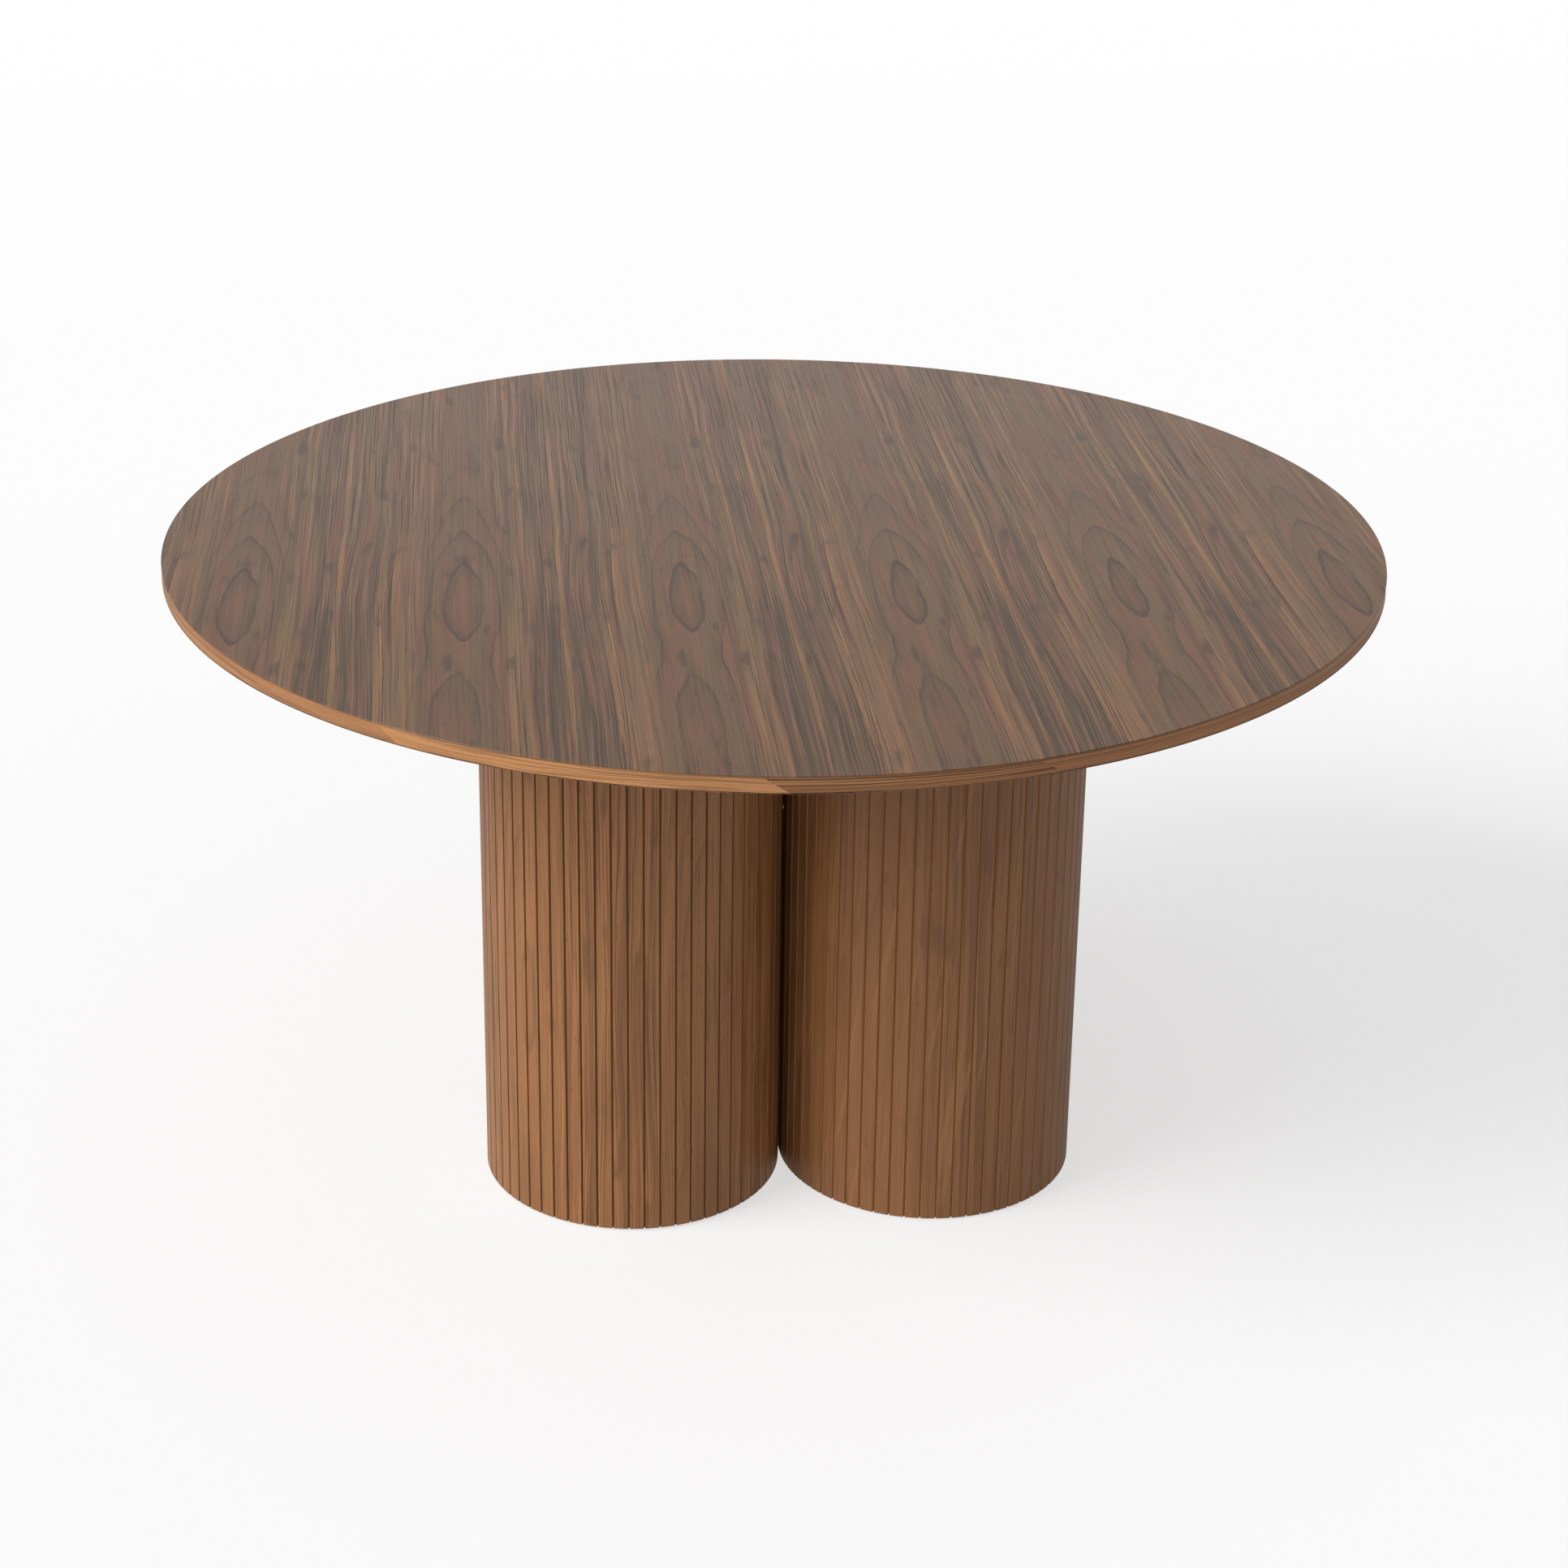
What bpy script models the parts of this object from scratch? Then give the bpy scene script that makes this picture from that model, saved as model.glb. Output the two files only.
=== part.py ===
"""Round pedestal table: a veneered disc top on four touching fluted columns, with levelling feet.

Metres, +Z up, the floor at z = 0. The columns stand in a square that is lined up with X and Y,
and the grain of the top runs along Y.
"""

import math

import bmesh
import bpy
from mathutils import Matrix, Vector

# Driving dimensions.
TABLE_HEIGHT = 0.770
TOP_RADIUS = 0.750
TOP_THICKNESS = 0.020
COLUMN_RADIUS = 0.1845
COLUMN_SPACING = 0.370
COLUMN_WALL = 0.012
FLOOR_CLEARANCE = 0.003
GAP = 0.0003

# Top: face leaves and backing on a core, with a lipping of solid lengths round it.
VENEER = 0.0008
LIPPING = 0.006
LEAF_WIDTH = 0.262
LEAF_OFFSET = -0.009
LEAF_GAP = 0.00015
ARC_STEP = math.radians(2.5)
BAND_LENGTHS_DEG = (33.5, 22.5, 50.0, 46.0, 57.0, 52.0, 44.0, 55.0)
BAND_START_DEG = -128.5
SCARF = 0.029
BAND_GAP = 0.0005

# Fluted shells: one groove between neighbouring slats.
SLATS = 60
GROOVE_WIDTH = 0.0024
GROOVE_FLOOR = 0.0012
GROOVE_DEPTH = 0.003
SEAM_GAP = 0.0003
GROOVE_PHASE_DEG = {"front_left": 1.5, "front_right": 3.4, "back_left": 0.0, "back_right": 4.5}

# Discs inside each column.
TOP_DISC = 0.025
BOTTOM_RING = 0.030
ACCESS_HOLE_RADIUS = 0.070

# M8 bolt and threaded insert that hold the top down on each column.
BOLT_RADIUS = 0.004
BOLT_HOLE_RADIUS = 0.0047
BOLT_LENGTH = 0.036
INSERT_RADIUS = 0.007
INSERT_LENGTH = 0.012
FLANGE_RADIUS = 0.009
FLANGE = 0.0015
HEX_RADIUS = 0.0075
HEX_HEIGHT = 0.006

# Connector that clamps two neighbouring shells together where they touch.
CONNECTOR_HEIGHT = 0.480
CONNECTOR_HEAD_RADIUS = 0.0085
CONNECTOR_HEAD = 0.0025
CONNECTOR_BARREL_RADIUS = 0.0044
CONNECTOR_BOLT_RADIUS = 0.003
CONNECTOR_CLEARANCE = 0.0002
CONNECTOR_HOLE_RADIUS = 0.0050
CONNECTOR_SEAT = COLUMN_WALL + 0.0012

# Levelling foot.
FOOT_OFFSET = 0.122
PAD_RADIUS = 0.020
PAD_HEIGHT = 0.007
PAD_RECESS_RADIUS = 0.0225
PAD_RECESS_TOP = 0.016
PIN_RADIUS = 0.003
PIN_BOTTOM = 0.0042
STUD_TOP = 0.046
NUT_FLANGE_RADIUS = 0.011
NUT_FLANGE_BOTTOM = 0.0140
NUT_BARREL_RADIUS = 0.0055
NUT_TOP = 0.030

TOP_UNDERSIDE = TABLE_HEIGHT - TOP_THICKNESS
COLUMN_TOP = TOP_UNDERSIDE - GAP
CORE_BOTTOM = TOP_UNDERSIDE + VENEER + GAP
CORE_TOP = TABLE_HEIGHT - VENEER - GAP
BORE_RADIUS = COLUMN_RADIUS - COLUMN_WALL
HALF_SPACING = COLUMN_SPACING / 2
PANEL_STEPS = 96
DISC_STEPS = 40
ROUND_STEPS = 12

COLUMNS = {
    "front_left": (-1, -1),
    "front_right": (1, -1),
    "back_left": (-1, 1),
    "back_right": (1, 1),
}
# Each connector's point on the plan, in half spacings, and the angle that its head faces.
CONNECTORS = {
    "front": (0, -1, 0.0),
    "right": (1, 0, 90.0),
    "back": (0, 1, 180.0),
    "left": (-1, 0, 270.0),
}


def clear_scene():
    for obj in list(bpy.data.objects):
        bpy.data.objects.remove(obj)


def new_collection(name):
    collection = bpy.data.collections.new(name)
    bpy.context.scene.collection.children.link(collection)
    return collection


def new_material(name, colour, roughness, metallic=0.0):
    material = bpy.data.materials.new(name)
    material.use_nodes = True
    shader = material.node_tree.nodes["Principled BSDF"]
    shader.inputs["Base Color"].default_value = (*colour, 1.0)
    shader.inputs["Roughness"].default_value = roughness
    shader.inputs["Metallic"].default_value = metallic
    return material


clear_scene()
PARTS = new_collection("pedestal_table")
CUTTERS = new_collection("cutters")
FACE_VENEER = new_material("walnut_face_veneer", (0.25, 0.18, 0.135), 0.45)
LIPPING_WOOD = new_material("walnut_lipping", (0.36, 0.19, 0.10), 0.45)
COLUMN_VENEER = new_material("walnut_column_veneer", (0.20, 0.115, 0.07), 0.5)
FIBREBOARD = new_material("fibreboard", (0.42, 0.27, 0.15), 0.85)
ZINC = new_material("zinc_plated_steel", (0.55, 0.55, 0.55), 0.35, 1.0)
NYLON = new_material("black_nylon", (0.02, 0.02, 0.02), 0.5)


def keep(obj, material):
    obj.data.materials.append(material)
    PARTS.objects.link(obj)
    return obj


def keep_cutter(obj):
    CUTTERS.objects.link(obj)
    obj.hide_render = True
    obj.display_type = "WIRE"
    return obj


def turned(name, profile, steps=ROUND_STEPS, on_axis=False):
    """An object turned about Z from (radius, z) points that run down its outer side.

    A ring's profile closes on itself. A solid's profile starts and ends on the axis.
    """
    mesh = bpy.data.meshes.new(name)
    points = [(radius, 0.0, z) for radius, z in profile]
    edges = [(i, i + 1) for i in range(len(points) - 1)]
    if not on_axis:
        edges.append((len(points) - 1, 0))
    mesh.from_pydata(points, edges, [])
    obj = bpy.data.objects.new(name, mesh)
    screw = obj.modifiers.new("turn", "SCREW")
    screw.axis = "Z"
    screw.steps = steps
    screw.render_steps = steps
    screw.use_merge_vertices = True
    screw.merge_threshold = 0.00001
    return obj


def ring_profile(inner, outer, bottom, top):
    return [(inner, top), (outer, top), (outer, bottom), (inner, bottom)]


def plate(name, outline, bottom, top):
    """A flat outline of (x, y) points, extruded from bottom to top."""
    curve = bpy.data.curves.new(name, "CURVE")
    curve.dimensions = "2D"
    curve.fill_mode = "BOTH"
    curve.extrude = (top - bottom) / 2
    spline = curve.splines.new("POLY")
    spline.points.add(len(outline) - 1)
    for point, (x, y) in zip(spline.points, outline):
        point.co = (x, y, 0.0, 1.0)
    spline.use_cyclic_u = True
    obj = bpy.data.objects.new(name, curve)
    obj.location.z = (top + bottom) / 2
    return obj


def as_mesh(obj):
    """The curve object made a mesh object with its caps welded on, so that a Boolean can cut it."""
    PARTS.objects.link(obj)
    bpy.context.view_layer.update()
    graph = bpy.context.evaluated_depsgraph_get()
    mesh = bpy.data.meshes.new_from_object(obj.evaluated_get(graph))
    work = bmesh.new()
    work.from_mesh(mesh)
    bmesh.ops.remove_doubles(work, verts=work.verts, dist=0.000001)
    work.to_mesh(mesh)
    work.free()
    solid = bpy.data.objects.new(obj.name + "_mesh", mesh)
    solid.matrix_world = obj.matrix_world
    name = obj.name
    bpy.data.objects.remove(obj)
    solid.name = name
    return solid


def cylinder_cutter(name, pieces):
    """One cutter of separate cylinders, each given as (matrix, radius, length) about its middle."""
    work = bmesh.new()
    for matrix, radius, length in pieces:
        bmesh.ops.create_cone(
            work,
            cap_ends=True,
            segments=ROUND_STEPS,
            radius1=radius,
            radius2=radius,
            depth=length,
            matrix=matrix,
        )
    mesh = bpy.data.meshes.new(name)
    work.to_mesh(mesh)
    work.free()
    return keep_cutter(bpy.data.objects.new(name, mesh))


def cut(obj, cutter):
    boolean = obj.modifiers.new("cut_" + cutter.name, "BOOLEAN")
    boolean.operation = "DIFFERENCE"
    boolean.object = cutter


def column_centre(column):
    x, y = COLUMNS[column]
    return Vector((x * HALF_SPACING, y * HALF_SPACING, 0.0))


def foot_centre(column):
    return column_centre(column) + column_centre(column).normalized() * FOOT_OFFSET


def arc(radius, start, end, step=ARC_STEP):
    """Points on a circle about the origin, from one angle to another, both ends included."""
    count = max(1, math.ceil(abs(end - start) / step))
    angles = [start + (end - start) * i / count for i in range(count + 1)]
    return [(radius * math.cos(angle), radius * math.sin(angle)) for angle in angles]


def leaf_outline(left, right):
    """The slice of the round top between two lines along Y, with its curved ends."""
    left_angle = math.acos(left / TOP_RADIUS)
    right_angle = math.acos(right / TOP_RADIUS)
    outline = arc(TOP_RADIUS, right_angle, left_angle) + arc(TOP_RADIUS, -left_angle, -right_angle)
    if left <= -TOP_RADIUS:
        outline.remove(outline[len(outline) // 2])
    if right >= TOP_RADIUS:
        outline.pop()
    return outline


def face_leaves():
    inner_joints = [LEAF_OFFSET + LEAF_WIDTH * i for i in range(-2, 3)]
    edges = [-TOP_RADIUS, *inner_joints, TOP_RADIUS]
    for number, (left, right) in enumerate(zip(edges, edges[1:]), start=1):
        left += LEAF_GAP if left > -TOP_RADIUS else 0.0
        right -= LEAF_GAP if right < TOP_RADIUS else 0.0
        outline = leaf_outline(left, right)
        keep(plate(f"face_leaf_{number}", outline, TABLE_HEIGHT - VENEER, TABLE_HEIGHT), FACE_VENEER)


def disc(name, radius, bottom, top):
    return turned(name, [(0.0, top), (radius, top), (radius, bottom), (0.0, bottom)], PANEL_STEPS, True)


def upright(centre, z):
    return Matrix.Translation((centre.x, centre.y, z))


def top_panel():
    core = keep(disc("top_core", TOP_RADIUS - LIPPING - GAP, CORE_BOTTOM, CORE_TOP), FIBREBOARD)
    backing = keep(disc("backing_veneer", TOP_RADIUS, TOP_UNDERSIDE, TOP_UNDERSIDE + VENEER), FACE_VENEER)
    pocket_top = CORE_BOTTOM + INSERT_LENGTH + 2 * GAP
    pocket = 2 * INSERT_LENGTH
    pockets = []
    holes = []
    for column in COLUMNS:
        centre = column_centre(column)
        pockets.append((upright(centre, pocket_top - pocket / 2), INSERT_RADIUS + 2 * GAP, pocket))
        holes.append((upright(centre, TOP_UNDERSIDE), BOLT_HOLE_RADIUS, pocket))
    cut(core, cylinder_cutter("insert_pockets", pockets))
    cut(backing, cylinder_cutter("backing_holes", holes))


def band_length(name, start, end):
    """One length of lipping on an arc, its ends cut on the same slant as its neighbours'."""
    segments = math.ceil((end - start) / ARC_STEP)
    work = bmesh.new()
    bmesh.ops.create_grid(work, x_segments=segments, y_segments=1, size=0.5)
    for vertex in work.verts:
        along, height = vertex.co.x + 0.5, vertex.co.y + 0.5
        angle = start + (end - start) * along + SCARF / TOP_RADIUS * (0.5 - height)
        z = CORE_BOTTOM + (CORE_TOP - CORE_BOTTOM) * height
        vertex.co = (TOP_RADIUS * math.cos(angle), TOP_RADIUS * math.sin(angle), z)
    mesh = bpy.data.meshes.new(name)
    work.to_mesh(mesh)
    work.free()
    obj = keep(bpy.data.objects.new(name, mesh), LIPPING_WOOD)
    solidify = obj.modifiers.new("thickness", "SOLIDIFY")
    solidify.thickness = LIPPING
    solidify.offset = -1.0


def edge_bands():
    start = math.radians(BAND_START_DEG)
    half_gap = BAND_GAP / TOP_RADIUS / 2
    for number, length in enumerate(BAND_LENGTHS_DEG, start=1):
        end = start + math.radians(length)
        band_length(f"edge_band_{number}", start + half_gap, end - half_gap)
        start = end


def polar(radius, angle):
    return radius * math.cos(angle), radius * math.sin(angle)


def fluted_outline(seam, pitch):
    """A ring that is open by a hair at its seam: flat slats with a groove between each two."""
    rim = GROOVE_WIDTH / 2 / COLUMN_RADIUS
    floor_radius = COLUMN_RADIUS - GROOVE_DEPTH
    floor = GROOVE_FLOOR / 2 / floor_radius
    slit = SEAM_GAP / 2 / BORE_RADIUS
    outline = [polar(floor_radius, seam + slit), polar(floor_radius, seam + floor)]
    outline.append(polar(COLUMN_RADIUS, seam + rim))
    for groove in range(1, SLATS):
        angle = seam + groove * pitch
        outline.append(polar(COLUMN_RADIUS, angle - rim))
        outline.append(polar(floor_radius, angle - floor))
        outline.append(polar(floor_radius, angle + floor))
        outline.append(polar(COLUMN_RADIUS, angle + rim))
    outline.append(polar(COLUMN_RADIUS, seam - rim))
    outline.append(polar(floor_radius, seam - floor))
    outline.append(polar(floor_radius, seam - slit))
    return outline + arc(BORE_RADIUS, seam - slit + math.tau, seam + slit, pitch)


def column_shell(column):
    """The seam is the groove nearest to the table's centre line, where no one sees it."""
    pitch = math.tau / SLATS
    centre = column_centre(column)
    inward = math.atan2(-centre.y, -centre.x)
    phase = math.radians(GROOVE_PHASE_DEG[column] - 90.0)
    seam = phase + pitch * round((inward - phase) / pitch)
    shell = plate(f"column_shell_{column}", fluted_outline(seam, pitch), FLOOR_CLEARANCE, COLUMN_TOP)
    shell.location.xy = centre.xy
    shell = keep(as_mesh(shell), COLUMN_VENEER)
    cut(shell, bpy.data.objects["connector_holes"])


def column_discs(column):
    centre = column_centre(column)
    radius = BORE_RADIUS - 2 * GAP
    profile = ring_profile(BOLT_HOLE_RADIUS, radius, COLUMN_TOP - TOP_DISC, COLUMN_TOP)
    top_disc = keep(turned(f"top_disc_{column}", profile, DISC_STEPS), FIBREBOARD)
    top_disc.location = centre
    ring_top = FLOOR_CLEARANCE + BOTTOM_RING
    profile = ring_profile(ACCESS_HOLE_RADIUS, radius, FLOOR_CLEARANCE, ring_top)
    bottom_ring = keep(turned(f"bottom_ring_{column}", profile, DISC_STEPS), FIBREBOARD)
    bottom_ring.location = centre
    foot = foot_centre(column)
    recess = (upright(foot, PAD_RECESS_TOP / 2), PAD_RECESS_RADIUS, PAD_RECESS_TOP)
    barrel = (upright(foot, BOTTOM_RING), NUT_BARREL_RADIUS + 2 * GAP, BOTTOM_RING)
    cut(bottom_ring, cylinder_cutter(f"foot_recess_{column}", [recess]))
    cut(bottom_ring, cylinder_cutter(f"foot_bore_{column}", [barrel]))


def top_fixing(column):
    centre = column_centre(column)
    seat = COLUMN_TOP - TOP_DISC - GAP
    bolt = turned(
        f"top_bolt_{column}",
        [
            (0.0, seat + BOLT_LENGTH),
            (BOLT_RADIUS - 0.0008, seat + BOLT_LENGTH),
            (BOLT_RADIUS, seat + BOLT_LENGTH - 0.0008),
            (BOLT_RADIUS, seat),
            (FLANGE_RADIUS, seat),
            (FLANGE_RADIUS, seat - FLANGE),
            (0.0, seat - FLANGE),
        ],
        on_axis=True,
    )
    hex_head(keep(bolt, ZINC), seat - FLANGE - HEX_HEIGHT, seat - FLANGE / 2, HEX_RADIUS)
    bolt.location = centre
    bottom = CORE_BOTTOM + GAP
    profile = ring_profile(BOLT_RADIUS + GAP, INSERT_RADIUS, bottom, bottom + INSERT_LENGTH)
    keep(turned(f"threaded_insert_{column}", profile), ZINC).location = centre


def hex_head(obj, bottom, top, radius):
    """Joins a hexagonal prism on the object's own axis to it."""
    work = bmesh.new()
    bmesh.ops.create_cone(
        work,
        cap_ends=True,
        segments=6,
        radius1=radius,
        radius2=radius,
        depth=top - bottom,
        matrix=Matrix.Translation((0.0, 0.0, (top + bottom) / 2)),
    )
    mesh = bpy.data.meshes.new(obj.name + "_hex")
    work.to_mesh(mesh)
    work.free()
    head = keep_cutter(bpy.data.objects.new(obj.name + "_hex", mesh))
    head.parent = obj
    join = obj.modifiers.new("hex", "BOOLEAN")
    join.operation = "UNION"
    join.object = head


def connector_frame(side):
    """Where a connector's middle is, with its own Z axis along the joint from one shell to the other."""
    x, y, heading = CONNECTORS[side]
    place = Matrix.Translation((x * HALF_SPACING, y * HALF_SPACING, CONNECTOR_HEIGHT))
    return place @ Matrix.Rotation(math.radians(heading), 4, "Z") @ Matrix.Rotation(math.radians(90), 4, "Y")


def connector_holes():
    length = 4 * COLUMN_WALL
    cylinder_cutter(
        "connector_holes",
        [(connector_frame(side), CONNECTOR_HOLE_RADIUS, length) for side in CONNECTORS],
    )


def connector(side):
    head = CONNECTOR_SEAT + CONNECTOR_HEAD
    bolt_end = 0.75 * COLUMN_WALL
    bolt = turned(
        f"connector_bolt_{side}",
        [
            (0.0, head),
            (CONNECTOR_HEAD_RADIUS, head),
            (CONNECTOR_HEAD_RADIUS, CONNECTOR_SEAT),
            (CONNECTOR_BOLT_RADIUS, CONNECTOR_SEAT),
            (CONNECTOR_BOLT_RADIUS, -bolt_end),
            (0.0, -bolt_end),
        ],
        on_axis=True,
    )
    bore = CONNECTOR_BOLT_RADIUS + CONNECTOR_CLEARANCE
    bore_end = bolt_end + 0.001
    nut = turned(
        f"connector_nut_{side}",
        [
            (bore, bolt_end),
            (CONNECTOR_BARREL_RADIUS, bolt_end),
            (CONNECTOR_BARREL_RADIUS, -CONNECTOR_SEAT),
            (CONNECTOR_HEAD_RADIUS, -CONNECTOR_SEAT),
            (CONNECTOR_HEAD_RADIUS, -head),
            (0.0, -head),
            (0.0, -bore_end),
            (bore, -bore_end),
            (bore, bolt_end),
        ],
        on_axis=True,
    )
    for piece in (bolt, nut):
        keep(piece, ZINC).matrix_world = connector_frame(side)


def foot(column):
    """The pad slides, the stud turns in the pad and in the fixed tee nut. All share one axis."""
    centre = foot_centre(column)
    socket = PIN_RADIUS + GAP
    pad = turned(
        f"foot_pad_{column}",
        [
            (socket, PAD_HEIGHT),
            (0.6 * PAD_RADIUS, PAD_HEIGHT),
            (PAD_RADIUS, 0.4 * PAD_HEIGHT),
            (PAD_RADIUS, 0.001),
            (PAD_RADIUS - 0.001, 0.0),
            (0.0, 0.0),
            (0.0, PIN_BOTTOM - GAP),
            (socket, PIN_BOTTOM - GAP),
            (socket, PAD_HEIGHT),
        ],
        on_axis=True,
    )
    keep(pad, NYLON).location = centre
    collar_bottom = PAD_HEIGHT + 2 * GAP
    collar_top = collar_bottom + HEX_HEIGHT - 0.001
    collar_middle = (collar_bottom + collar_top) / 2
    stud = turned(
        f"foot_stud_{column}",
        [
            (0.0, STUD_TOP),
            (BOLT_RADIUS - 0.0008, STUD_TOP),
            (BOLT_RADIUS, STUD_TOP - 0.0008),
            (BOLT_RADIUS, collar_middle),
            (PIN_RADIUS, collar_middle),
            (PIN_RADIUS, PIN_BOTTOM),
            (0.0, PIN_BOTTOM),
        ],
        on_axis=True,
    )
    hex_head(keep(stud, ZINC), collar_bottom, collar_top, HEX_RADIUS)
    stud.location = centre
    flange_top = PAD_RECESS_TOP - GAP
    nut_bore = BOLT_RADIUS + GAP
    nut = turned(
        f"foot_tee_nut_{column}",
        [
            (nut_bore, NUT_TOP),
            (NUT_BARREL_RADIUS, NUT_TOP),
            (NUT_BARREL_RADIUS, flange_top),
            (NUT_FLANGE_RADIUS, flange_top),
            (NUT_FLANGE_RADIUS, NUT_FLANGE_BOTTOM),
            (nut_bore, NUT_FLANGE_BOTTOM),
        ],
    )
    keep(nut, ZINC).location = centre


def smooth_round_pieces():
    """Shades the turned pieces smooth, and keeps their corners sharp."""
    for obj in PARTS.objects:
        if obj.type != "MESH" or "turn" not in obj.modifiers:
            continue
        obj.modifiers["turn"].use_smooth_shade = True


face_leaves()
top_panel()
edge_bands()
connector_holes()
for column_name in COLUMNS:
    column_shell(column_name)
    column_discs(column_name)
    top_fixing(column_name)
    foot(column_name)
for side_name in CONNECTORS:
    connector(side_name)
smooth_round_pieces()
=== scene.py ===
"""The looks of the pedestal table: slip-matched walnut leaves, a jointed lipping and fluted columns.

Everything is in metres in the row's own frame. A "grain" attribute on each wooden mesh holds the
place in its sheet of wood: across the grain, along the grain, and which leaf or length it is.
"""

import math
from collections import namedtuple

import bmesh
import bpy
from mathutils import Matrix, Vector


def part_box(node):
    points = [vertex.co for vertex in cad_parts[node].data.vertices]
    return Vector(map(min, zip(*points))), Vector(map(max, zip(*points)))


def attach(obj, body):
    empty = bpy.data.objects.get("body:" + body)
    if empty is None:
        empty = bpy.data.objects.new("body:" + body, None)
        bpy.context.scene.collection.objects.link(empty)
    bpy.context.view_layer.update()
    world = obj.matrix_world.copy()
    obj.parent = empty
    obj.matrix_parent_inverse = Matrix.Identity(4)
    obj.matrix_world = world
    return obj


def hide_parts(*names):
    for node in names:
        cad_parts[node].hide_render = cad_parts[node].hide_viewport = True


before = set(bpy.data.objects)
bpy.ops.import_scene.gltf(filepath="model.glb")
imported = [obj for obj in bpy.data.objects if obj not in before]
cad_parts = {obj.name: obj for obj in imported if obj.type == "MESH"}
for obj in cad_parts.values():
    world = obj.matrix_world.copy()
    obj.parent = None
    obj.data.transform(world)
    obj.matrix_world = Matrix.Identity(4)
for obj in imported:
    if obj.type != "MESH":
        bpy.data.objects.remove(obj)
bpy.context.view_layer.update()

COLUMNS = ("front_left", "front_right", "back_left", "back_right")
CONNECTOR_HEADINGS = {"front": 0.0, "right": 90.0, "back": 180.0, "left": 270.0}

# Heights and sizes read from the frame.
FACE_BOTTOM, TOP = (corner.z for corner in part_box("face_leaf_3"))
UNDERSIDE, BACKING_TOP = (corner.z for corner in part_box("backing_veneer"))
BAND_BOTTOM, BAND_TOP = (corner.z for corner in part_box("edge_band_1"))
COLUMN_BOTTOM, COLUMN_TOP = (corner.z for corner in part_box("column_shell_front_left"))
TOP_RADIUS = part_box("backing_veneer")[1].x

# Sizes of the CAD pieces that their boxes don't give.
COLUMN_RADIUS = 0.1845
COLUMN_WALL = 0.012
BORE_RADIUS = COLUMN_RADIUS - COLUMN_WALL
RING_BORE = 0.070
DISC_BORE = 0.0047
FOOT_RECESS = 0.0225
STUD_HOLE = 0.0061

# The leaves of veneer and the boards of the lipping.
LEAF_WIDTH = 0.262
# How deep in the log each leaf was cut, in growth rings. The figure drifts by that much.
LEAF_DEPTHS = (-0.08, -0.12, 0.0, 0.06, 0.09, 0.03)
# The backing's leaves start here, and all have the same depth.
BACKING_LEFT = -0.80
BACKING_DEPTH = 0.4
LIPPING = 0.006
# How far inside the top's edge the lipping's face lies, and by how much its lengths overlap.
LIPPING_INSET = 0.0001
LIPPING_OVERLAP = 0.0002
# Each length's board, from dark red at 0 to pale at 1.
BOARD_LIGHTNESS = (0.85, 0.14, 0.24, 0.55, 0.25, 0.75, 0.50, 0.50)

# The fluted panels.
SLATS = 60
SLATS_PER_LEAF = 12
SLAT_PITCH = math.tau / SLATS
GROOVE_WIDTH = 0.0024
GROOVE_FLOOR = 0.0011
GROOVE_DEPTH = 0.003
GROOVE_PHASE_DEG = {"front_left": 1.5, "front_right": 3.4, "back_left": 0.0, "back_right": 4.5}
SEAM_GAP = 0.0003
# Growth rings between neighbouring leaves of one column, and between columns.
LEAF_STEP = 0.12
COLUMN_STEP = 1.7
# A range of depths that lies between the first column's leaves and all the others.
BEYOND_FIRST_COLUMN = (0.8, 1.5)

# Points nearer than this are the same.
CLOSE = 0.0001

# Small forms.
EASED_EDGE = 0.0004
RING_EDGE = 0.0005
SHARP_CORNER = math.radians(30)
FINE_ARC = math.radians(0.5)
M8_RADIUS = 0.004
M8_CLEARANCE = 0.0043
THREAD_PITCH = 0.00125
THREAD_DEPTH = 0.0006
SPANNER_RADIUS = 0.0075


# ---------------------------------------------------------------- shader building


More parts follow.
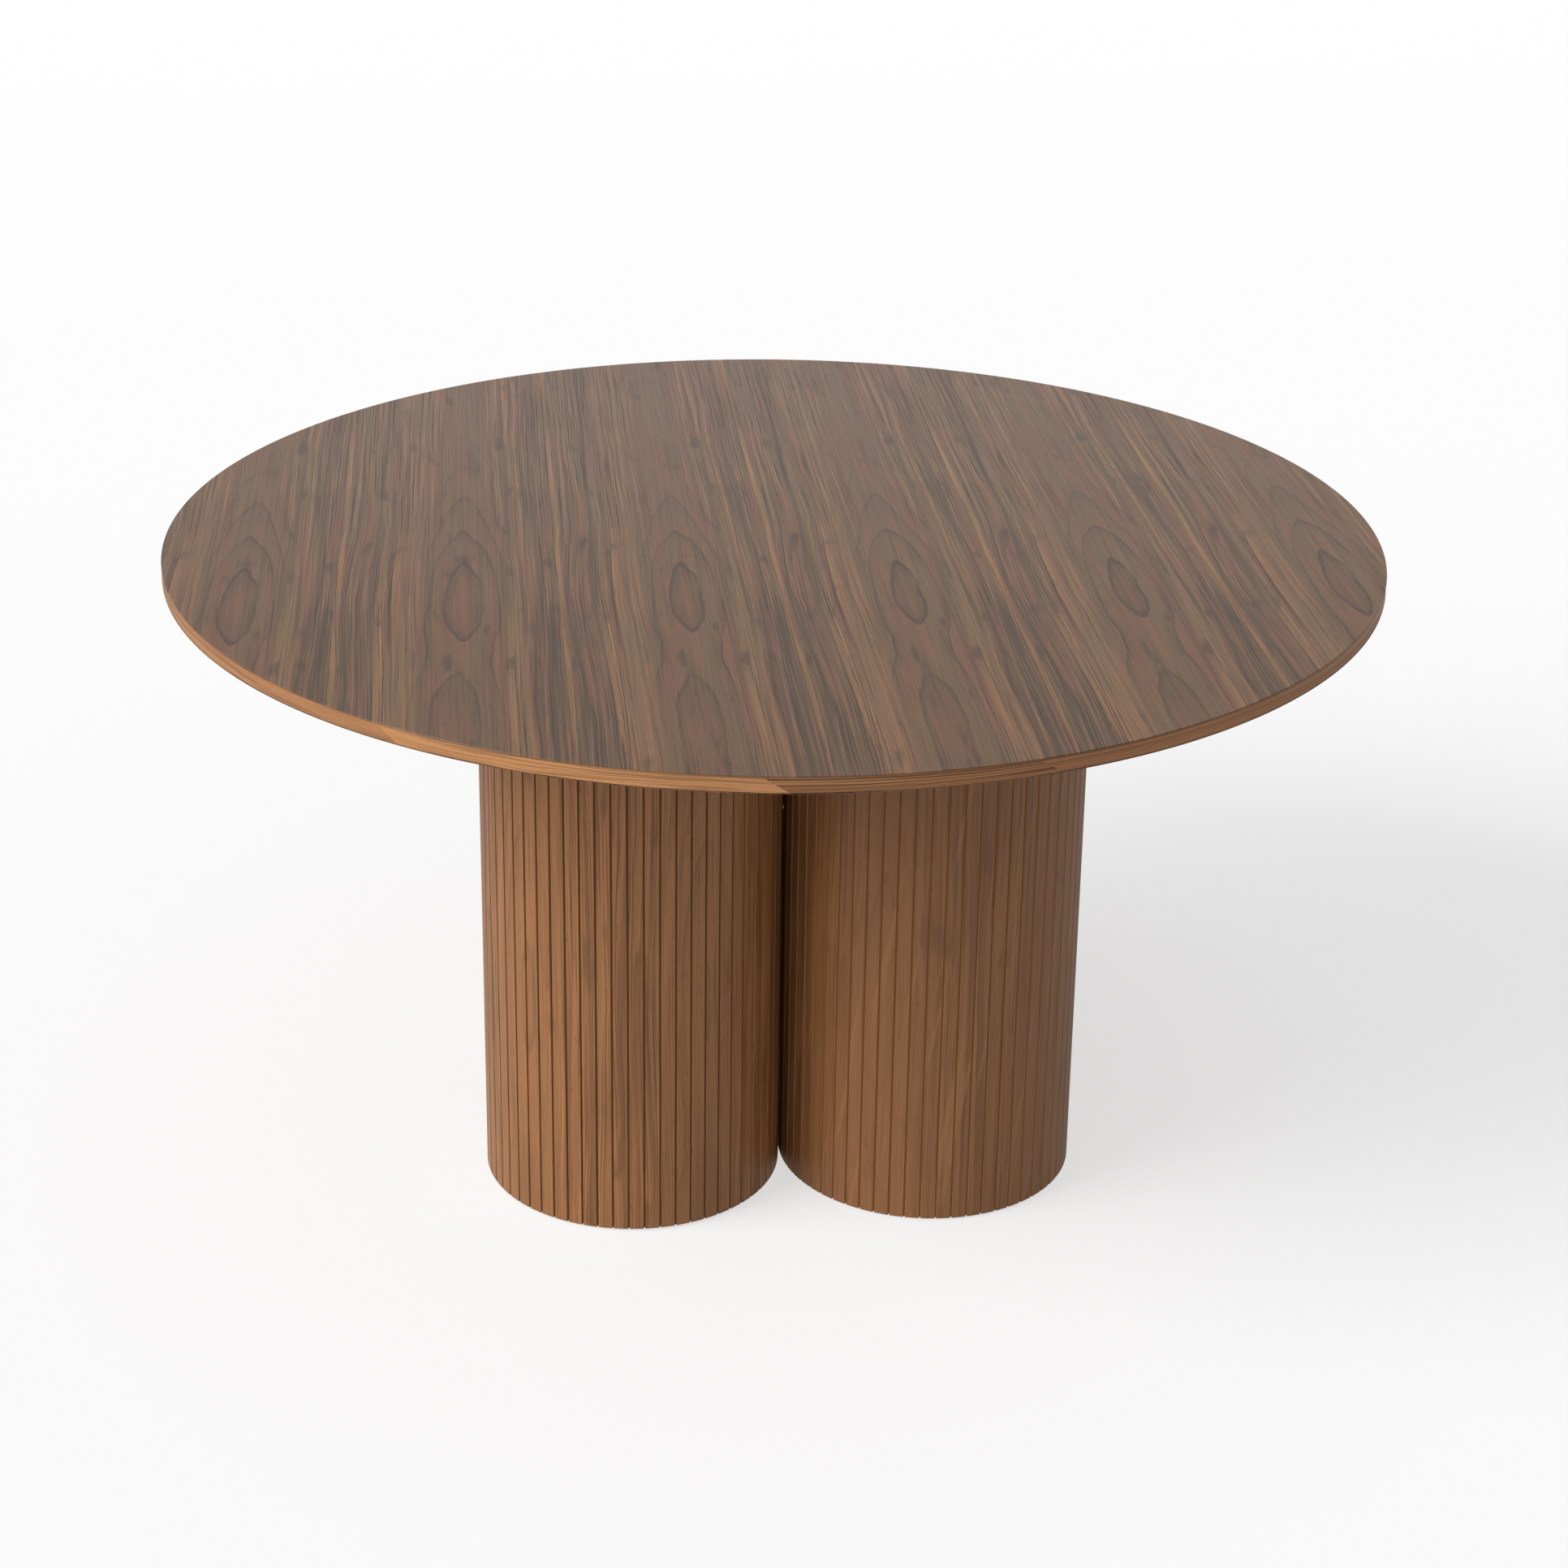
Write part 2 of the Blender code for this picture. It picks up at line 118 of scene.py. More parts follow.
class Shader:
    """Adds nodes to one material. Wherever a number is taken, another node's output also fits."""

    def __init__(self, name):
        self.material = bpy.data.materials.new(name)
        self.material.use_nodes = True
        self.tree = self.material.node_tree
        self.principled = self.tree.nodes["Principled BSDF"]

    def node(self, kind, **settings):
        made = self.tree.nodes.new(kind)
        for name, value in settings.items():
            setattr(made, name, value)
        return made

    def feed(self, socket, value):
        """Links another node's output to a socket, or sets the socket to a number."""
        if isinstance(value, bpy.types.NodeSocket):
            self.tree.links.new(value, socket)
        else:
            socket.default_value = value

    def math(self, operation, *values):
        made = self.node("ShaderNodeMath", operation=operation)
        for socket, value in zip(made.inputs, values):
            self.feed(socket, value)
        return made.outputs[0]

    def times(self, first, second):
        return self.math("MULTIPLY", first, second)

    def plus(self, first, second):
        return self.math("ADD", first, second)

    def minus(self, first, second):
        return self.math("SUBTRACT", first, second)

    def spread(self, value, width):
        """Turns 0 to 1 into a shift of up to half the width either way."""
        return self.math("MULTIPLY_ADD", value, width, -width / 2)

    def combine(self, x, y, z):
        made = self.node("ShaderNodeCombineXYZ")
        for socket, value in zip(made.inputs, (x, y, z)):
            self.feed(socket, value)
        return made.outputs[0]

    def noise(self, vector, detail=2.0, roughness=0.5):
        """Noise with features about one unit of the vector wide, from 0 to 1 round 0.5."""
        made = self.node("ShaderNodeTexNoise")
        self.feed(made.inputs["Vector"], vector)
        made.inputs["Scale"].default_value = 1.0
        made.inputs["Detail"].default_value = detail
        made.inputs["Roughness"].default_value = roughness
        return made.outputs["Fac"]

    def figure(self, place, across, along, detail=2.0, roughness=0.5):
        """Noise in a sheet of wood, with so many features to a metre across and along the grain."""
        x, y, layer = place
        stretched = self.combine(self.times(x, across), self.times(y, along), layer)
        return self.noise(stretched, detail, roughness)

    def speckle(self, per_metre, detail=2.0, roughness=0.5):
        """Noise in the piece's own coordinates, with so many features to a metre."""
        made = self.node("ShaderNodeVectorMath", operation="MULTIPLY")
        self.feed(made.inputs[0], self.node("ShaderNodeTexCoord").outputs["Object"])
        made.inputs[1].default_value = per_metre if isinstance(per_metre, tuple) else (per_metre,) * 3
        return self.noise(made.outputs[0], detail, roughness)

    def ramp(self, value, low, high, out_low=0.0, out_high=1.0, smooth=True):
        """Goes from out_low to out_high while the value goes from low to high, and stays level outside."""
        made = self.node("ShaderNodeMapRange")
        made.interpolation_type = "SMOOTHSTEP" if smooth else "LINEAR"
        for socket, number in zip(made.inputs, (value, low, high, out_low, out_high)):
            self.feed(socket, number)
        return made.outputs[0]

    def mix(self, factor, first, second):
        made = self.node("ShaderNodeMix", data_type="RGBA")
        self.feed(made.inputs["Factor"], factor)
        for socket, colour in ((made.inputs[6], first), (made.inputs[7], second)):
            self.feed(socket, (*colour, 1.0) if isinstance(colour, tuple) else colour)
        return made.outputs[2]

    def stain(self, colour, tone, amount, strength):
        """The colour with a tone laid over it, by an amount of up to the strength."""
        return self.mix(self.times(amount, strength), colour, tone)

    def surface(self, colour, roughness):
        self.feed(self.principled.inputs["Base Color"], colour)
        self.feed(self.principled.inputs["Roughness"], roughness)

    def bump(self, height, strength, distance):
        made = self.node("ShaderNodeBump")
        self.feed(made.inputs["Height"], height)
        made.inputs["Strength"].default_value = strength
        made.inputs["Distance"].default_value = distance
        self.feed(self.principled.inputs["Normal"], made.outputs[0])

    def bowl(self, value):
        """The square of a number, which goes on in a straight line past 1."""
        slope = 1.3
        size = self.math("ABSOLUTE", value)
        near = self.math("MINIMUM", size, 1.0)
        far = self.times(self.minus(size, near), slope)
        return self.math("MULTIPLY_ADD", near, near, far)

    def curve(self, value, points):
        """A smooth curve from 0 to 1 through given points."""
        made = self.node("ShaderNodeFloatCurve")
        line = made.mapping.curves[0]
        for _ in range(len(points) - 2):
            line.points.new(0.5, 0.5)
        for point, place in zip(line.points, points):
            point.location = place
        made.mapping.update()
        self.feed(made.inputs["Value"], value)
        return made.outputs[0]

    def grain(self):
        """The three numbers of the grain attribute: across, along and which sheet."""
        made = self.node("ShaderNodeAttribute", attribute_name="grain")
        split = self.node("ShaderNodeSeparateXYZ")
        self.tree.links.new(made.outputs["Vector"], split.inputs[0])
        return split.outputs


# ---------------------------------------------------------------- the materials

# The tones of a walnut: its thin dark lines, then dark, middle, pink and tan wood.
Tones = namedtuple("Tones", "line dark middle pink tan")
# The middle of the flame in its leaf, its half width and half length, and how strong its rings are.
Flame = namedtuple("Flame", "across along half_width half_length strength")

FACE_TONES = Tones(
    line=(0.046, 0.025, 0.0145),
    dark=(0.070, 0.039, 0.021),
    middle=(0.192, 0.108, 0.052),
    pink=(0.226, 0.102, 0.052),
    tan=(0.385, 0.200, 0.086),
)
COLUMN_TONES = Tones(
    line=(0.095, 0.040, 0.014),
    dark=(0.180, 0.076, 0.026),
    middle=(0.345, 0.150, 0.049),
    pink=(0.370, 0.150, 0.052),
    tan=(0.460, 0.212, 0.075),
)
FACE_FLAME = Flame(across=0.151, along=-0.228, half_width=0.040, half_length=0.222, strength=1.0)
COLUMN_FLAME = Flame(across=0.120, along=0.30, half_width=0.040, half_length=0.24, strength=0.4)
FACE_ROUGHNESS = 0.33
COLUMN_ROUGHNESS = 0.44

# Tone across a leaf of the top, from its left joint to its right one: 0 is dark, 1 is tan.
ZONES_BACK = (
    (0.0, 0.84), (0.018, 0.84), (0.030, 0.45), (0.10, 0.42), (0.17, 0.34), (0.20, 0.32), (0.211, 0.74),
    (0.224, 0.36), (0.27, 0.62), (0.38, 0.64), (0.44, 0.50), (0.60, 0.46), (0.74, 0.50), (0.80, 0.63),
    (0.87, 0.56), (0.91, 0.32), (0.95, 0.30), (0.985, 0.42), (1.0, 0.50),
)
ZONES_FRONT = (
    (0.0, 0.66), (0.010, 0.60), (0.02, 0.38), (0.15, 0.33), (0.195, 0.28), (0.211, 0.70), (0.225, 0.42),
    (0.26, 0.72), (0.33, 0.74), (0.40, 0.52), (0.60, 0.42), (0.74, 0.46), (0.79, 0.70), (0.86, 0.58),
    (0.90, 0.16), (0.96, 0.16), (1.0, 0.40),
)


def flame_level(s, flame, side, along):
    """How far out in the flame a point lies. Below its pointed bowl is an arch that stays open."""
    lower_half = 0.85 * flame.half_length
    arch_distance = 1.60 * flame.half_length
    softness = 0.06
    up = s.math("DIVIDE", along, s.ramp(along, -0.06, 0.06, lower_half, flame.half_length))
    down = s.math("DIVIDE", s.plus(along, arch_distance), flame.half_length)
    lengthways = s.math("SMOOTH_MIN", s.bowl(up), s.bowl(s.math("MAXIMUM", down, 0.0)), softness)
    # Below the flame's middle the level is capped, which keeps the rings open towards the arch.
    cap = s.ramp(along, -0.06, 0.0, 0.50, 6.0, smooth=False)
    lengthways = s.math("SMOOTH_MIN", lengthways, cap, softness)
    width = s.ramp(along, 0.02, -0.14, flame.half_width, 1.22 * flame.half_width)
    sideways = s.math("DIVIDE", side, width)
    # A crease down the middle makes the rings' ends pointed.
    crease = s.ramp(s.math("ABSOLUTE", side), 0.0, 0.014, -0.07, 0.0)
    return s.plus(s.math("MULTIPLY_ADD", sideways, sideways, lengthways), crease)


def walnut(name, tones, flame, roughness):
    """Walnut veneer with the figure of one log in every leaf: a flame between straight lines."""
    s = Shader(name)
    across, along, sheet = s.grain()
    here = (across, along, sheet)

    # The figure wanders a little sideways, slowly along the grain.
    wander = s.figure(here, 5.0, 2.4, detail=1.0)
    ripple = s.figure(here, 30.0, 11.0, detail=3.0)
    shift = s.plus(s.spread(wander, 0.010), s.spread(ripple, 0.004))
    from_flame = s.minus(along, flame.along)
    side = s.minus(s.plus(across, shift), flame.across)
    lean = s.ramp(from_flame, 0.05, -0.40, 0.0, 0.014)
    flame_side = s.plus(side, lean)

    # Growth rings: each darkens slowly and ends in a thin dark line.
    ring_width = 0.77
    first_ring = 0.675
    level = flame_level(s, flame, flame_side, from_flame)
    rings = s.plus(s.math("DIVIDE", level, ring_width), s.plus(sheet, first_ring))
    phase = s.math("FRACT", s.plus(rings, s.spread(ripple, 0.36)))
    late_wood = s.ramp(phase, 0.35, 1.0)
    last_line = s.times(s.ramp(phase, 0.86, 0.95), s.ramp(phase, 0.985, 1.0, 1.0, 0.0))

    # The rings show in the flame, in patches, and the straight lines show beside it.
    narrowing = s.ramp(from_flame, 0.1, 0.5, 1.0, 1.7)
    reach = s.times(s.math("ABSOLUTE", flame_side), narrowing)
    in_flame = s.ramp(reach, 0.9 * flame.half_width, 1.6 * flame.half_width, 1.0, 0.0)
    patchy = s.figure(here, 18.0, 7.0, detail=1.0)
    ringed = s.times(in_flame, s.ramp(along, flame.along + 0.20, flame.along + 0.50, 1.0, 0.25))
    ringed = s.times(ringed, s.ramp(patchy, 0.35, 0.6, 0.4 * flame.strength, flame.strength))
    ringed = s.times(ringed, s.ramp(from_flame, -0.15, -0.32, 1.0, 0.7))
    plain = s.ramp(in_flame, 0.0, 1.0, 1.0, 0.22, smooth=False)

    # The flame pushes the straight lines apart a little.
    bow = s.ramp(s.math("ABSOLUTE", from_flame), 0.0, 1.3 * flame.half_length, 0.955, 1.0)
    layer = s.times(sheet, 0.6)
    straight = (s.times(side, bow), along, layer)
    lines = s.figure(straight, 470.0, 2.6, roughness=0.75)
    fine = s.figure(straight, 1100.0, 5.0, detail=1.0, roughness=0.6)
    bands = s.figure(straight, 120.0, 1.3)
    strokes = s.figure(straight, 700.0, 45.0, detail=1.0)
    blotch = s.figure(here, 42.0, 9.0)
    tint = s.figure((across, along, layer), 45.0, 2.6, detail=1.0)
    pores = s.figure((across, along, layer), 2600.0, 130.0, detail=1.0)

    colour = s.mix(s.ramp(tint, 0.42, 0.60), tones.middle, tones.pink)
    colour = s.stain(colour, tones.tan, s.ramp(bands, 0.52, 0.70), s.times(plain, 0.65))
    colour = s.stain(colour, tones.dark, s.ramp(bands, 0.48, 0.30), s.times(plain, 0.65))
    colour = s.stain(colour, tones.dark, late_wood, s.times(ringed, 0.45))
    colour = s.stain(colour, tones.line, last_line, s.times(ringed, 0.58))
    colour = s.stain(colour, tones.dark, s.ramp(lines, 0.54, 0.61), s.times(plain, 0.95))
    colour = s.stain(colour, tones.tan, s.ramp(lines, 0.42, 0.34), s.times(plain, 0.60))
    colour = s.stain(colour, tones.dark, s.ramp(blotch, 0.60, 0.74), 0.7)
    colour = s.stain(colour, tones.line, s.ramp(fine, 0.50, 0.75), 0.6)
    colour = s.stain(colour, tones.line, s.ramp(strokes, 0.62, 0.78), 0.6)
    colour = s.stain(colour, tones.line, s.ramp(pores, 0.60, 0.78), 0.25)

    shine = s.ramp(lines, 0.3, 0.7, roughness - 0.04, roughness + 0.05)
    s.feed(s.principled.inputs["Roughness"], shine)
    open_pores = s.times(s.ramp(pores, 0.58, 0.75, 1.0, 0.0), 0.7)
    s.bump(s.plus(open_pores, s.times(fine, 0.3)), strength=0.25, distance=0.0002)
    return s, colour


def face_veneer():
    """The top's veneer, with the tan and dark zones of its leaves."""
    s, colour = walnut("walnut_face_veneer", FACE_TONES, FACE_FLAME, FACE_ROUGHNESS)
    here = s.grain()
    across, along, _ = here
    wobble = s.figure(here, 60.0, 5.0)
    place = s.plus(s.math("DIVIDE", across, LEAF_WIDTH), s.spread(wobble, 0.016))
    back = s.curve(place, ZONES_BACK)
    towards_front = s.ramp(along, -0.12, -0.34)
    zones = s.plus(back, s.times(s.minus(s.curve(place, ZONES_FRONT), back), towards_front))
    flecks = s.figure(here, 330.0, 4.0)
    ragged = s.ramp(flecks, 0.42, 0.58, 0.25, 1.0)
    colour = s.stain(colour, FACE_TONES.tan, s.ramp(zones, 0.5, 1.0, 0.0, 0.8), ragged)
    colour = s.stain(colour, FACE_TONES.dark, s.ramp(zones, 0.5, 0.0, 0.0, 0.9), ragged)
    s.feed(s.principled.inputs["Base Color"], colour)
    return s.material


def column_veneer():
    """The columns' veneer, with a weak flame. After the first column it has leaning streaks, and it is
    darker: partly a darker sheet, partly painted shade.
    """
    s, colour = walnut("walnut_column_veneer", COLUMN_TONES, COLUMN_FLAME, COLUMN_ROUGHNESS)
    here = s.grain()
    across, along, sheet = here
    lean = 0.16
    leaning = s.minus(across, s.times(along, lean))
    streaks = s.figure((leaning, along, sheet), 100.0, 3.5, detail=1.0)
    streaked = s.times(s.ramp(streaks, 0.58, 0.69), s.ramp(sheet, *BEYOND_FIRST_COLUMN, 0.0, 0.55))
    colour = s.mix(streaked, colour, COLUMN_TONES.tan)
    slow = s.figure(here, 14.0, 4.0, detail=1.0)
    colour = s.stain(colour, COLUMN_TONES.dark, s.ramp(slow, 0.54, 0.72), 0.35)
    # Painted shade in part: the columns after the first are mixed towards dark, for a darker sheet and for
    # shade.
    colour = s.mix(s.ramp(sheet, *BEYOND_FIRST_COLUMN, 0.0, 0.42), colour, COLUMN_TONES.dark)
    s.feed(s.principled.inputs["Base Color"], colour)
    return s.material


def lipping_wood():
    """Solid wood from different boards. The grain's third number is the length's own number plus
    its board's lightness. A dark board has long straight lines, and a pale one short wavy ones."""
    red, pale, golden = (0.325, 0.140, 0.055), (0.55, 0.258, 0.099), (0.52, 0.265, 0.105)
    stripe, pore, dark_corner_line = (0.090, 0.034, 0.015), (0.12, 0.05, 0.025), (0.11, 0.045, 0.024)
    s = Shader("walnut_lipping")
    here = s.grain()
    across, along, sheet = here
    lightness = s.math("FRACT", sheet)
    drift = s.minus(s.figure(here, 20.0, 4.0), 0.5)
    bowed = s.plus(across, s.times(drift, s.ramp(lightness, 0.1, 0.7, 0.002, 0.020)))
    length = s.times(along, s.ramp(lightness, 0.1, 0.7, 1.6, 5.0))
    lines = s.noise(s.combine(s.times(bowed, 640.0), length, sheet), detail=3.0, roughness=0.6)
    broad = s.figure((bowed, along, sheet), 90.0, 3.0)
    pores = s.figure(here, 2200.0, 120.0, detail=1.0)
    colour = s.mix(s.ramp(lightness, 0.1, 0.9, smooth=False), red, pale)
    colour = s.stain(colour, golden, s.ramp(broad, 0.5, 0.7), 0.35)
    colour = s.stain(colour, stripe, s.ramp(lines, 0.49, 0.57), s.ramp(lightness, 0.14, 0.24, 1.0, 0.45))
    colour = s.stain(colour, pore, s.ramp(pores, 0.6, 0.78), 0.4)
    # A thin dark line runs along the top corner, next to the face veneer.
    colour = s.mix(s.ramp(across, BAND_TOP - 0.0020, BAND_TOP - 0.0006, 0.0, 0.55), colour, dark_corner_line)
    s.surface(colour, s.ramp(lines, 0.3, 0.7, 0.44, 0.54))
    s.principled.inputs["Specular IOR Level"].default_value = 0.35
    s.bump(pores, strength=0.12, distance=0.0002)
    return s.material


def fibreboard(name, colour, dark):
    """Raw fibreboard: a fine speckle of fibres, and slow changes of tone."""
    s = Shader(name)
    fibres = s.speckle(1500.0, detail=3.0, roughness=0.7)
    mixed = s.mix(s.ramp(fibres, 0.35, 0.7), dark, colour)
    mixed = s.stain(mixed, dark, s.ramp(s.speckle(30.0), 0.4, 0.7), 0.3)
    s.surface(mixed, roughness=0.85)
    s.bump(fibres, strength=0.3, distance=0.0003)
    return s.material


def zinc():
    """Zinc plating: a slightly uneven bright metal with a faint warm cast in places."""
    s = Shader("zinc_plated_steel")
    clouds = s.speckle(120.0, detail=3.0)
    scratches = s.speckle((900.0, 900.0, 4000.0), roughness=0.7)
    colour = s.mix(s.ramp(clouds, 0.35, 0.7), (0.60, 0.61, 0.63), (0.66, 0.62, 0.52))
    s.surface(colour, s.ramp(scratches, 0.3, 0.7, 0.24, 0.42))
    s.principled.inputs["Metallic"].default_value = 1.0
    s.bump(scratches, strength=0.08, distance=0.0001)
    return s.material


def nylon():
    """Moulded black nylon with a fine spark-eroded texture."""
    s = Shader("black_nylon")
    texture = s.speckle(2500.0)
    colour = s.mix(texture, (0.012, 0.012, 0.013), (0.028, 0.028, 0.03))
    s.surface(colour, s.ramp(texture, 0.3, 0.7, 0.42, 0.6))
    s.bump(texture, strength=0.2, distance=0.0001)
    return s.material


FACE = face_veneer()
COLUMN_FACE = column_veneer()
LIPPING_FACE = lipping_wood()
BOARD = fibreboard("fibreboard", (0.44, 0.29, 0.165), (0.34, 0.21, 0.115))
GROOVE = fibreboard("fibreboard_groove", (0.33, 0.155, 0.047), (0.22, 0.098, 0.030))
# A paler copy of the groove fibreboard: partly a paler board, partly painted light on lit groove walls.
LIT_PALE_GROOVE = fibreboard("fibreboard_lit_pale_groove", (0.52, 0.255, 0.080), (0.36, 0.170, 0.052))
STEEL = zinc()
NYLON = nylon()


# ---------------------------------------------------------------- mesh building


def piece_of(name, work, materials):
    """The bmesh as an object, with its normals facing out and its sharp corners kept."""
    bmesh.ops.recalc_face_normals(work, faces=work.faces)
    mesh = bpy.data.meshes.new(name)
    work.to_mesh(mesh)
    work.free()
    for material in materials:
        mesh.materials.append(material)
    mesh.shade_smooth()
    mesh.set_sharp_from_angle(angle=SHARP_CORNER)
    obj = bpy.data.objects.new(name, mesh)
    bpy.context.scene.collection.objects.link(obj)
    return obj


def hand_over(obj, node, body):
    """Puts a piece in the place of its CAD node."""
    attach(obj, body)
    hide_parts(node)


def set_grain(obj, place):
    """Writes the grain attribute: place(corner, face centre) gives across, along and sheet."""
    mesh = obj.data
    attribute = mesh.attributes.new("grain", "FLOAT_VECTOR", "CORNER")
    for face in mesh.polygons:
        for corner in face.loop_indices:
            point = mesh.vertices[mesh.loops[corner].vertex_index].co
            attribute.data[corner].vector = place(point, face.center)


def bridge(work, first, second):
    """Quads between two closed rows of vertices."""
    count = len(first)
    for i in range(count):
        j = (i + 1) % count
        work.faces.new((first[i], first[j], second[j], second[i]))


def loft(work, rows):
    """A closed skin over rows of vertices, with a face over each end."""
    for first, second in zip(rows, rows[1:]):
        bridge(work, first, second)
    work.faces.new(rows[0])
    work.faces.new(rows[-1])


def circle(work, radius, z, steps, centre):
    """A level row of vertices round a centre."""
    x, y = centre[0], centre[1]
    angles = [math.tau * i / steps for i in range(steps)]
    return [work.verts.new((x + radius * math.cos(a), y + radius * math.sin(a), z)) for a in angles]


def turned(work, profile, steps=64, centre=(0.0, 0.0)):
    """A turned form from (radius, z) points. A point at radius 0 is a pole."""
    rows = []
    for radius, z in profile:
        if radius == 0.0:
            rows.append([work.verts.new((centre[0], centre[1], z))])
        else:
            rows.append(circle(work, radius, z, steps, centre))
    for first, second in zip(rows, rows[1:]):
        if len(first) == len(second) == 1:
            continue
        if len(first) == 1 or len(second) == 1:
            pole, ring = (first[0], second) if len(first) == 1 else (second[0], first)
            for i in range(steps):
                work.faces.new((pole, ring[i], ring[(i + 1) % steps]))
        else:
            bridge(work, first, second)


def ring_loop(inner, outer, bottom, top, ease):
    """The closed profile of a flat ring with eased corners."""
    return [
        (inner, bottom + ease),
        (inner, top - ease),
        (inner + ease, top),
        (outer - ease, top),
        (outer, top - ease),
        (outer, bottom + ease),
        (outer - ease, bottom),
        (inner + ease, bottom),
        (inner, bottom + ease),
    ]


def weld(work):
    """Joins the rows of vertices that fall on each other where a profile closes."""
    bmesh.ops.remove_doubles(work, verts=work.verts, dist=0.000002)


def thread(work, radius, bottom, top, centre):
    """A rod with a real helical thread, which fades out to its core at both ends."""
    steps, rows_per_turn = 32, 6
    count = round((top - bottom) / THREAD_PITCH * rows_per_turn)
    rows = []
    for row in range(count + 1):
        z = bottom + (top - bottom) * row / count
        taper = min(1.0, (z - bottom) / THREAD_PITCH, (top - z) / THREAD_PITCH)
        ring = []
        for i in range(steps):
            turn = i / steps
            crest = abs(2.0 * ((z / THREAD_PITCH - turn) % 1.0) - 1.0)
            r = radius - THREAD_DEPTH * (1.0 - crest * max(taper, 0.0))
            angle = math.tau * turn
            ring.append(work.verts.new((centre.x + r * math.cos(angle), centre.y + r * math.sin(angle), z)))
        rows.append(ring)
    loft(work, rows)


def hexagon(work, radius, bottom, top, centre):
    """A hexagonal prism with eased ends."""
    ease = EASED_EDGE
    levels = [(radius - ease, bottom), (radius, bottom + ease), (radius, top - ease), (radius - ease, top)]
    loft(work, [circle(work, r, z, 6, centre) for r, z in levels])


def centre_of(node):
    low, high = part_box(node)
    return (low + high) / 2


# ---------------------------------------------------------------- the top


def slice_outline(left, right, radius):
    """The part of a circle between two lines along Y, as (x, y) points."""
    start = math.acos(max(-1.0, min(1.0, right / radius)))
    end = math.acos(max(-1.0, min(1.0, left / radius)))
    count = math.ceil((end - start) / FINE_ARC)
    angles = [start + (end - start) * i / count for i in range(count + 1)]
    upper = [(radius * math.cos(a), radius * math.sin(a)) for a in angles]
    lower = [(x, -y) for x, y in reversed(upper)]
    return [(x, y) for x, y in upper + lower if abs(y) > CLOSE or abs(x) > radius - CLOSE]


def face_leaf(number):
    """One leaf of the face veneer. The first leaf has lost its left side, so it counts from its right."""
    node = f"face_leaf_{number}"
    low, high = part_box(node)
    levels = (
        (TOP_RADIUS, FACE_BOTTOM),
        (TOP_RADIUS, TOP - EASED_EDGE),
        (TOP_RADIUS - EASED_EDGE, TOP),
    )
    work = bmesh.new()
    rows = []
    for radius, z in levels:
        rows.append([work.verts.new((x, y, z)) for x, y in slice_outline(low.x, high.x, radius)])
    loft(work, rows)
    weld(work)
    leaf = piece_of(f"veneer_leaf_{number}", work, [FACE])
    sheet = LEAF_DEPTHS[number - 1]
    left = high.x - LEAF_WIDTH if number == 1 else low.x
    set_grain(leaf, lambda point, _: (point.x - left, point.y, sheet))
    hand_over(leaf, node, "table")


def backing():
    """One sheet under the core, with edges along its leaf joints, so that each face lies in one leaf."""
    work = bmesh.new()
    profile = [
        (0.0, UNDERSIDE),
        (TOP_RADIUS - EASED_EDGE, UNDERSIDE),
        (TOP_RADIUS, UNDERSIDE + EASED_EDGE),
        (TOP_RADIUS, BACKING_TOP),
        (0.0, BACKING_TOP),
    ]
    turned(work, profile, steps=360)
    for joint in range(1, len(LEAF_DEPTHS)):
        line = (BACKING_LEFT + joint * LEAF_WIDTH, 0.0, 0.0)
        whole = work.verts[:] + work.edges[:] + work.faces[:]
        bmesh.ops.bisect_plane(work, geom=whole, plane_co=line, plane_no=(1.0, 0.0, 0.0))
    sheet = piece_of("backing_sheet", work, [FACE])

    def place(point, face_centre):
        leaf = math.floor((face_centre.x - BACKING_LEFT) / LEAF_WIDTH)
        return point.x - BACKING_LEFT - leaf * LEAF_WIDTH, point.y, BACKING_DEPTH

    set_grain(sheet, place)
    hand_over(sheet, "backing_veneer", "table")


def band_span(node, z):
    """The angles at which a length of lipping starts and ends, at its bottom or its top."""
    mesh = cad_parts[node].data
    middle = centre_of(node)
    heading = math.atan2(middle.y, middle.x)
    turns = []
    for vertex in mesh.vertices:
        if abs(vertex.co.z - z) < CLOSE and vertex.co.xy.length > TOP_RADIUS - 10 * CLOSE:
            angle = math.atan2(vertex.co.y, vertex.co.x) - heading
            turns.append((angle + math.pi) % math.tau - math.pi)
    return heading + min(turns), heading + max(turns)


def band_length(number):
    """One length of the lipping, with slanted ends."""
    node = f"edge_band_{number}"
    low_start, low_end = band_span(node, BAND_BOTTOM)
    high_start, high_end = band_span(node, BAND_TOP)
    overlap = LIPPING_OVERLAP / TOP_RADIUS
    outer, inner = TOP_RADIUS - LIPPING_INSET, TOP_RADIUS - LIPPING
    section = [
        (inner, BAND_BOTTOM),
        (outer - EASED_EDGE, BAND_BOTTOM),
        (outer, BAND_BOTTOM + EASED_EDGE),
        (outer, BAND_TOP - EASED_EDGE / 2),
        (outer - EASED_EDGE / 2, BAND_TOP),
        (inner, BAND_TOP),
    ]
    count = math.ceil((high_end - high_start) / FINE_ARC)
    work = bmesh.new()
    rows = []
    for step in range(count + 1):
        row = []
        for radius, z in section:
            height = (z - BAND_BOTTOM) / (BAND_TOP - BAND_BOTTOM)
            start = low_start + (high_start - low_start) * height - overlap
            end = low_end + (high_end - low_end) * height + overlap
            angle = start + (end - start) * step / count
            row.append(work.verts.new((radius * math.cos(angle), radius * math.sin(angle), z)))
        rows.append(row)
    loft(work, rows)
    band = piece_of(f"lipping_{number}", work, [LIPPING_FACE])
    heading = math.atan2(centre_of(node).y, centre_of(node).x)
    board = number + BOARD_LIGHTNESS[number - 1]

    def place(point, _):
        angle = (math.atan2(point.y, point.x) - heading + math.pi) % math.tau - math.pi
        return point.z + (TOP_RADIUS - point.xy.length), angle * TOP_RADIUS, board

    set_grain(band, place)
    hand_over(band, node, "table")


# ---------------------------------------------------------------- the columns


